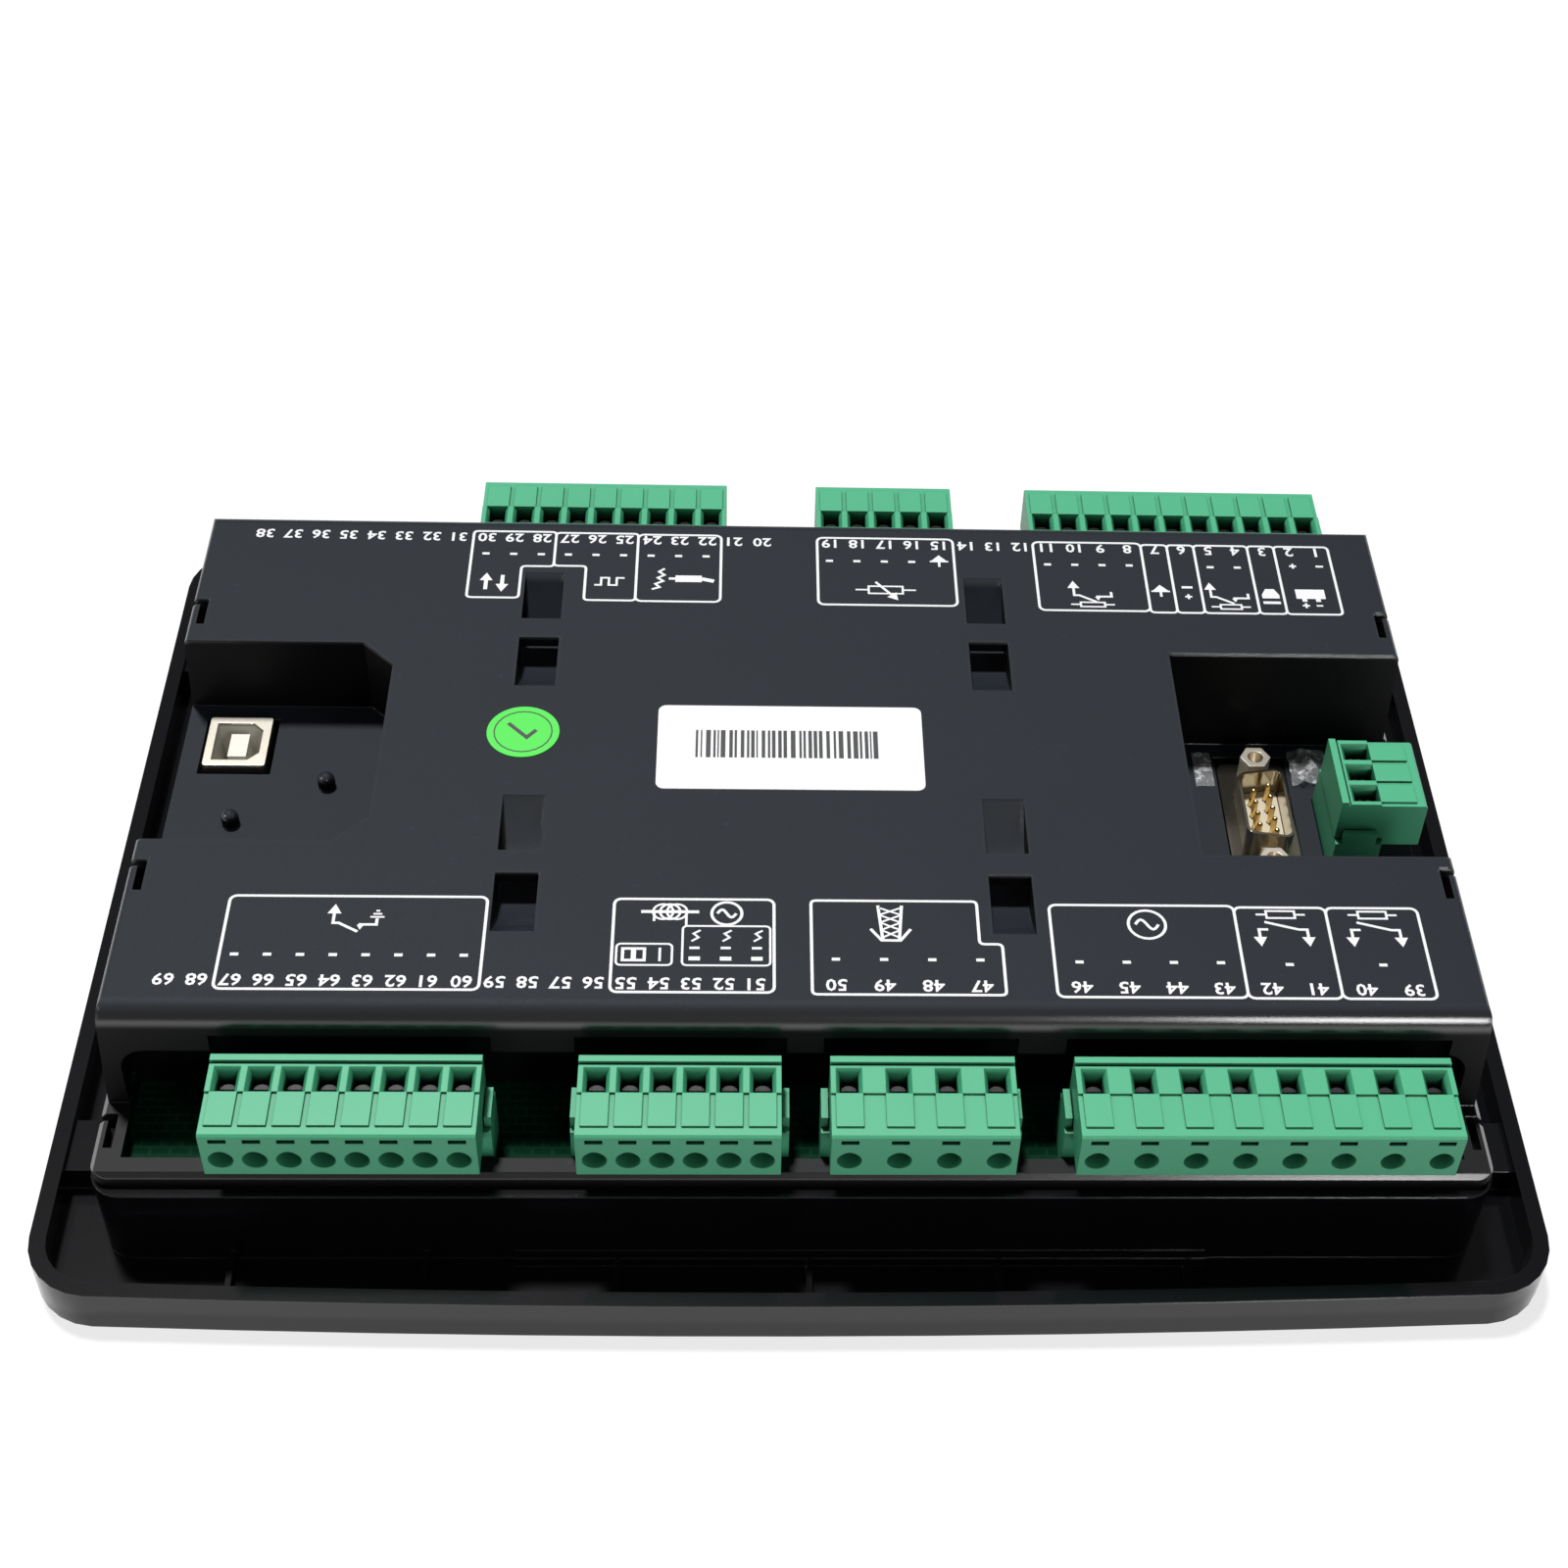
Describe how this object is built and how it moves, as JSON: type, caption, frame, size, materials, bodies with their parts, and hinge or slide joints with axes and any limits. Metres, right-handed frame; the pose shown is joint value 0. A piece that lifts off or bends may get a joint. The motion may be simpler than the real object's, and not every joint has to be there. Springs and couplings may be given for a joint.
{
  "type": "genset controller",
  "caption": "Panel-mounted generator controller with a bowed bezel, clip-on rear cover, pluggable screw terminals, service and serial ports, display and push keys.",
  "frame": {"origin": "middle of the front rim, on the surface that the controller lies on", "axes": "+X along the long side, +Y across it towards the edge with the supply terminals, +Z out of the rear of the controller"},
  "size_m": [0.24, 0.181, 0.0419],
  "materials": {
    "case_plastic": "satin",
    "cover_plastic": "satin",
    "front_film": "satin",
    "window": "gloss",
    "lcd": "gloss",
    "board_green": "gloss",
    "screw_steel": "satin",
    "black_parts": "satin",
    "light_pipe": "gloss",
    "capacitor": "satin",
    "tinned": "satin",
    "clamp_steel": "satin",
    "nickel": "bright plated",
    "white_plastic": "satin",
    "gold": "bright plated",
    "label_white": "satin",
    "sticker_green": "satin",
    "clear_film": "gloss",
    "key_plastic": "satin",
    "terminal_green": "satin"
  },
  "bodies": {
    "case": {"front_housing": "case_plastic", "rear_cover": "cover_plastic", "front_film": "front_film", "display_window": "window", "display_module": "lcd", "display_board": "board_green", "main_board": "board_green", "display_screws": "screw_steel", "board_screws": "screw_steel", "key_switches": "black_parts", "status_lights": "light_pipe", "board_link": "black_parts", "relays": "black_parts", "capacitors": "capacitor", "header_pins": "tinned", "clamp_cages": "clamp_steel", "clamp_screws": "clamp_steel", "service_shell": "nickel", "service_insert": "white_plastic", "serial_shell": "nickel", "serial_insulator": "white_plastic", "serial_pins": "gold", "jack_screws": "nickel", "rear_label": "label_white", "check_sticker": "sticker_green", "clear_film": "clear_film", "header_near_a": "terminal_green", "plug_near_a": "terminal_green", "header_near_b": "terminal_green", "plug_near_b": "terminal_green", "header_near_c": "terminal_green", "plug_near_c": "terminal_green", "header_near_d": "terminal_green", "plug_near_d": "terminal_green", "header_far_a": "terminal_green", "plug_far_a": "terminal_green", "header_far_b": "terminal_green", "plug_far_b": "terminal_green", "header_far_c": "terminal_green", "plug_far_c": "terminal_green", "header_side": "terminal_green", "plug_side": "terminal_green"},
    "key_up": {"key_up": "key_plastic"},
    "key_down": {"key_down": "key_plastic"},
    "key_left": {"key_left": "key_plastic"},
    "key_right": {"key_right": "key_plastic"},
    "key_enter": {"key_enter": "key_plastic"},
    "key_stop": {"key_stop": "key_plastic"},
    "key_manual": {"key_manual": "key_plastic"},
    "key_auto": {"key_auto": "key_plastic"},
    "key_mute": {"key_mute": "key_plastic"},
    "key_start": {"key_start": "key_plastic"}
  },
  "joints": [
    {"name": "press_up", "type": "slide", "parent": "case", "child": "key_up", "axis": [0, 0, 1], "range_m": [0, 0.0008], "stiffness_N_per_m": 2000},
    {"name": "press_down", "type": "slide", "parent": "case", "child": "key_down", "axis": [0, 0, 1], "range_m": [0, 0.0008], "stiffness_N_per_m": 2000},
    {"name": "press_left", "type": "slide", "parent": "case", "child": "key_left", "axis": [0, 0, 1], "range_m": [0, 0.0008], "stiffness_N_per_m": 2000},
    {"name": "press_right", "type": "slide", "parent": "case", "child": "key_right", "axis": [0, 0, 1], "range_m": [0, 0.0008], "stiffness_N_per_m": 2000},
    {"name": "press_enter", "type": "slide", "parent": "case", "child": "key_enter", "axis": [0, 0, 1], "range_m": [0, 0.0008], "stiffness_N_per_m": 2000},
    {"name": "press_stop", "type": "slide", "parent": "case", "child": "key_stop", "axis": [0, 0, 1], "range_m": [0, 0.0008], "stiffness_N_per_m": 2000},
    {"name": "press_manual", "type": "slide", "parent": "case", "child": "key_manual", "axis": [0, 0, 1], "range_m": [0, 0.0008], "stiffness_N_per_m": 2000},
    {"name": "press_auto", "type": "slide", "parent": "case", "child": "key_auto", "axis": [0, 0, 1], "range_m": [0, 0.0008], "stiffness_N_per_m": 2000},
    {"name": "press_mute", "type": "slide", "parent": "case", "child": "key_mute", "axis": [0, 0, 1], "range_m": [0, 0.0008], "stiffness_N_per_m": 2000},
    {"name": "press_start", "type": "slide", "parent": "case", "child": "key_start", "axis": [0, 0, 1], "range_m": [0, 0.0008], "stiffness_N_per_m": 2000}
  ]
}
